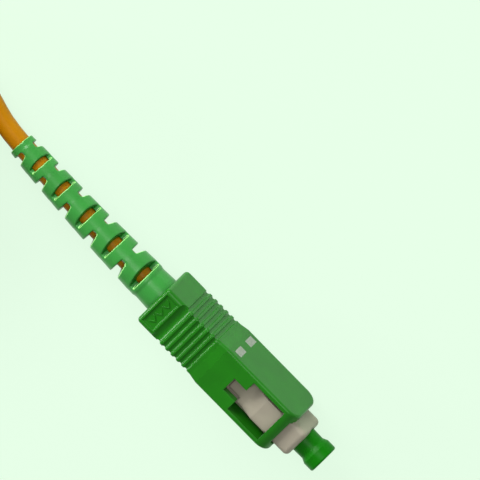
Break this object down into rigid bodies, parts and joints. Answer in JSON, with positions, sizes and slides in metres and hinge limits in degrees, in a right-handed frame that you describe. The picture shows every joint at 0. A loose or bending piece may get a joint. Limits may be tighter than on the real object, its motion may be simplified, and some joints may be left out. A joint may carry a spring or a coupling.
{
  "type": "fibre optic connector plug",
  "caption": "Push-pull optical fibre plug with angled ceramic ferrule, latch windows, dust cap, slotted strain relief boot and coiled jacketed cable.",
  "frame": {"origin": "On the ferrule axis, in the plane of the outer housing's front face.", "axes": "+X runs out of the nose along the ferrule, +Y leaves the broad face with the two marks, +Z leaves a narrow face with a latch window; the plug lies on its other narrow face at z = -4.5 mm."},
  "size_m": [0.0998, 0.036, 0.015],
  "materials": {
    "housing_green": "injection-moulded green polymer, satin",
    "mark_paint": "pale printed infill",
    "frame_beige": "pale beige moulded polymer, satin",
    "zirconia": "polished white ceramic",
    "silica": "clear glass fibre",
    "nickel_plate": "nickel-plated turned metal",
    "buffer_white": "white tight buffer",
    "tube_clear": "milky fluoropolymer tube",
    "spring_steel": "drawn stainless wire",
    "ring_metal": "nickel-plated turned metal",
    "yarn_yellow": "loose golden yarn",
    "crimp_metal": "annealed bright sleeve",
    "boot_green": "soft green elastomer, satin",
    "jacket_orange": "smooth yellow-orange jacket",
    "cap_green": "soft green moulded polymer"
  },
  "bodies": {
    "plug_core": {"plug_frame": "frame_beige", "stop_ring": "ring_metal", "aramid_yarn": "yarn_yellow", "crimp_sleeve": "crimp_metal", "strain_relief_boot": "boot_green", "cable_jacket": "jacket_orange", "cable_run": "jacket_orange", "cable_coil": "jacket_orange", "ferrule_spring": "spring_steel"},
    "housing": {"outer_housing": "housing_green", "insertion_marks": "mark_paint"},
    "ferrule_train": {"ferrule": "zirconia", "bare_fibre": "silica", "ferrule_flange": "nickel_plate", "buffered_fibre": "buffer_white", "guide_tube": "tube_clear"},
    "cap": {"dust_cap": "cap_green"}
  },
  "joints": [
    {"name": "housing_slide", "type": "slide", "parent": "plug_core", "child": "housing", "axis": [1, 0, 0], "range_m": [-0.002, 0]},
    {"name": "ferrule_float", "type": "slide", "parent": "plug_core", "child": "ferrule_train", "axis": [1, 0, 0], "range_m": [-0.001, 0], "stiffness_N_per_m": 1500, "deforming": ["ferrule_spring"]},
    {"name": "cap_pull", "type": "slide", "parent": "ferrule_train", "child": "cap", "axis": [1, 0, 0], "range_m": [0, 0.01]}
  ]
}
